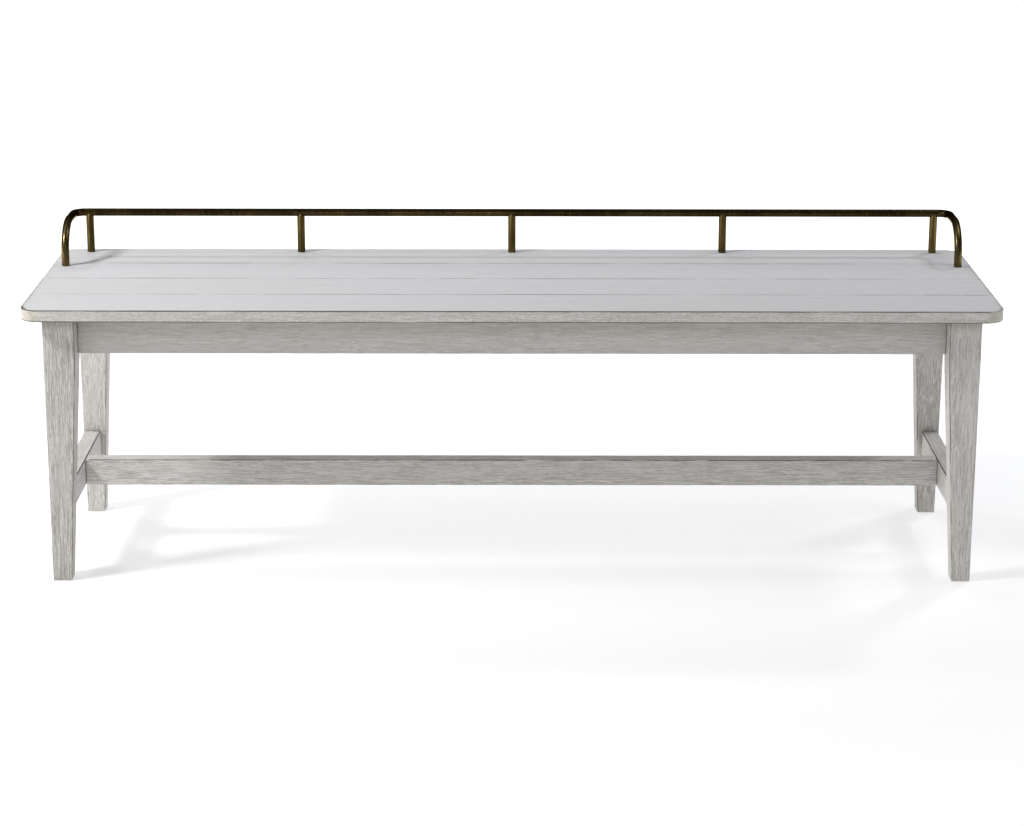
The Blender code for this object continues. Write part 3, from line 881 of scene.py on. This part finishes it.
# %% Rail tube
TUBE_RADIUS = 0.00635
RAIL_FOOT = Vector((-0.739, 0.0935, sides("rail_tube")[0][2]))
BAR_Y = 0.2055
BAR_Z = 0.5188
DOWN_BEND = 0.052
PLAN_BEND = 0.019
QUARTER = math.pi / 2
TUBE_EDGE = 0.0004


def extrude(x, y, z):
    bpy.ops.mesh.extrude_region_move(TRANSFORM_OT_translate={"value": (x, y, z)})


def soften_tube(piece):
    soft = piece.modifiers.new("soft_edges", "BEVEL")
    soft.width = TUBE_EDGE
    soft.segments = 2
    soft.angle_limit = math.radians(60)
    apply_modifier(piece, soft)


bpy.ops.object.select_all(action="DESELECT")
bpy.ops.mesh.primitive_circle_add(
    vertices=40, radius=TUBE_RADIUS, fill_type="NGON", location=RAIL_FOOT
)
rail = bpy.context.object
rail.name = "gallery_rail"
bpy.ops.object.transform_apply(location=True, rotation=True, scale=True)
select(rail, "faces", lambda face: True)
extrude(0, 0, BAR_Z - DOWN_BEND - RAIL_FOOT.z)
down_centre = (RAIL_FOOT.x, RAIL_FOOT.y + DOWN_BEND, BAR_Z - DOWN_BEND)
bpy.ops.mesh.spin(steps=24, angle=QUARTER, center=down_centre, axis=(1, 0, 0))
extrude(0, BAR_Y - PLAN_BEND - RAIL_FOOT.y - DOWN_BEND, 0)
plan_centre = (RAIL_FOOT.x + PLAN_BEND, BAR_Y - PLAN_BEND, BAR_Z)
bpy.ops.mesh.spin(steps=16, angle=QUARTER, center=plan_centre, axis=(0, 0, 1))
extrude(-RAIL_FOOT.x - PLAN_BEND, 0, 0)
bpy.ops.mesh.delete(type="ONLY_FACE")
done()
mirror = rail.modifiers.new("other_half", "MIRROR")
mirror.merge_threshold = 0.0005
apply_modifier(rail, mirror)
face_outwards(rail)
soften_tube(rail)
rubbed = rail.data.attributes.new("rubbed", "FLOAT", "POINT")
for point in rail.data.vertices:
    rubbed.data[point.index].value = ramp(BAR_Y - 0.03 - point.co.y, 0.04)
rail.data.materials.append(brass)
hand_over(rail, "antique_brass", "rail_tube")

# %% [markdown]
# ## The rail posts
#
# Five straight posts carry the bar. The top of a post is hollowed to a saddle that fits under the bar:
# a second cylinder is laid where the bar runs, and a Boolean modifier takes it away. One post is made
# in the middle and copied to the five places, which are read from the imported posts.

# %% Rail posts
SADDLE_GAP = 0.0001

bpy.ops.object.select_all(action="DESELECT")
bpy.ops.mesh.primitive_cylinder_add(
    vertices=40,
    radius=TUBE_RADIUS,
    depth=BAR_Z - RAIL_FOOT.z,
    location=(0, BAR_Y, (BAR_Z + RAIL_FOOT.z) / 2),
)
post = bpy.context.object
post.name = "post_pattern"
bpy.ops.object.transform_apply(location=True, rotation=True, scale=True)
bpy.ops.mesh.primitive_cylinder_add(
    vertices=64,
    radius=TUBE_RADIUS + SADDLE_GAP,
    depth=0.05,
    location=(0, BAR_Y, BAR_Z),
    rotation=(0, QUARTER, 0),
)
cutter = bpy.context.object
saddle = post.modifiers.new("saddle", "BOOLEAN")
saddle.operation = "DIFFERENCE"
saddle.object = cutter
apply_modifier(post, saddle)
bpy.data.objects.remove(cutter)
soften_tube(post)
post.data.materials.append(post_brass)
for name in ("left_corner", "left", "middle", "right", "right_corner"):
    node = "rail_post_" + name
    low, high = sides(node)
    pick(post)
    bpy.ops.object.duplicate()
    piece = bpy.context.object
    piece.name = name + "_post"
    bpy.ops.transform.translate(value=((low[0] + high[0]) / 2, 0, 0))
    bpy.ops.object.transform_apply(location=True, rotation=True, scale=True)
    hand_over(piece, "antique_brass", node)
bpy.data.objects.remove(post)

# %% [markdown]
# ## Bare wood and zinc
#
# Under the seat nothing is painted. The cross rails and corner blocks are bare hardwood with a plain
# straight grain, and the screws, bolts and nuts are steel with a thin coat of zinc, which is slightly
# cloudy. The metal of the fasteners is a little rougher where the zinc has dulled.

# %% Hidden finishes
RAW_PALE = (0.46, 0.33, 0.20, 1)
RAW_DARK = (0.30, 0.20, 0.115, 1)
RAW_EDGE = (0.20, 0.13, 0.075, 1)
ZINC_DULL = (0.52, 0.53, 0.55, 1)
ZINC_BRIGHT = (0.70, 0.70, 0.69, 1)

bare_wood, tree, shader = new_material("raw_hardwood")
place = shade(tree, "TexCoord").outputs["Object"]
rings = streaks(tree, place, ACROSS, 12.0, 190.0, 4, 0.6)
colour = blend(tree, between(tree, rings, 0.35, 0.65), RAW_PALE, RAW_DARK)
colour = blend(tree, times(tree, attribute(tree, "rubbed"), rings), colour, RAW_EDGE)
surface(tree, shader, colour, rings, 0.55, 0.75, relief=rings, strength=0.3, depth=0.0004)

zinc, tree, shader = new_material("zinc_plated_steel")
place = shade(tree, "TexCoord").outputs["Object"]
spangle = noise(tree, place, 420.0, 3)
colour = blend(tree, spangle, ZINC_DULL, ZINC_BRIGHT)
shader.inputs["Metallic"].default_value = 1.0
surface(tree, shader, colour, spangle, 0.28, 0.45, relief=spangle, strength=0.1, depth=0.0001)
print("hidden finishes ready")

# %% [markdown]
# ## Cross rails
#
# Two flat rails run from the front apron to the back one and carry the middle of the planks. They are
# short boards, so they are made the same way as the aprons, up to the faces of the two aprons.

# %% Cross rails
HIDDEN_EDGE = 0.0012
HIDDEN_GRAIN_DEPTH = 0.0003
CROSS_REACH = sides("apron_back")[0][1] - FIT


def plain_wear(co):
    return 0.4


for end_name in ("left", "right"):
    node = "cross_rail_" + end_name
    piece = start(end_name + "_cross_rail", *without_tenons(node, ACROSS, CROSS_REACH))
    divide(piece, ALONG, cuts=20)
    divide(piece, UP, cuts=6)
    divide(piece, ACROSS, cuts=40)
    soften(piece, HIDDEN_EDGE, bare_wood, plain_wear)
    press_grain(piece, ACROSS, LONG_GRAIN, HIDDEN_GRAIN_DEPTH, LONG_GRAIN_PLACE)
    hand_over(piece, "raw_hardwood", node)

# %% [markdown]
# ## Corner blocks
#
# A block fills the inside of each corner and the leg is bolted through it. A cube is cut twice with
# bisect: once across the diagonal, which leaves a wedge, and once to blunt the tip beside the leg.

# %% Corner blocks
BLUNT_TIP = 0.0137

low, high = sides("corner_block_front_left")
left, front, bottom = low
block = start("block_pattern", low, high)
select(block, "faces", lambda face: True)
bpy.ops.mesh.bisect(
    plane_co=(left, high[1], bottom), plane_no=(1, 1, 0), use_fill=True, clear_outer=True
)
select(block, "faces", lambda face: True)
bpy.ops.mesh.bisect(
    plane_co=(left + BLUNT_TIP, front, bottom), plane_no=(-1, -1, 0), use_fill=True, clear_outer=True
)
done()
soften(block, HIDDEN_EDGE, bare_wood, plain_wear)

for piece, corner in mirrored_copies(block):
    piece.name = corner + "_block"
    hand_over(piece, "raw_hardwood", "corner_block_" + corner)

# %% [markdown]
# ## Fasteners and tongues
#
# The tongues between the planks, the plugs inside the tubes and the steel fasteners are round or flat
# and hardly seen. The CAD pieces already have their shape, so they stay and only get a finish.

# %% Finishes for the pieces that stay
for name, node in nodes.items():
    if name.startswith("plank_spline"):
        node.data.materials[0] = bare_wood
        print(name, "is bare wood")
    elif "plug" in name:
        node.data.materials[0] = brass
        print(name, "is brass")
    elif "screw" in name or name.startswith("hanger"):
        node.data.materials[0] = zinc
        print(name, "is zinc plated")
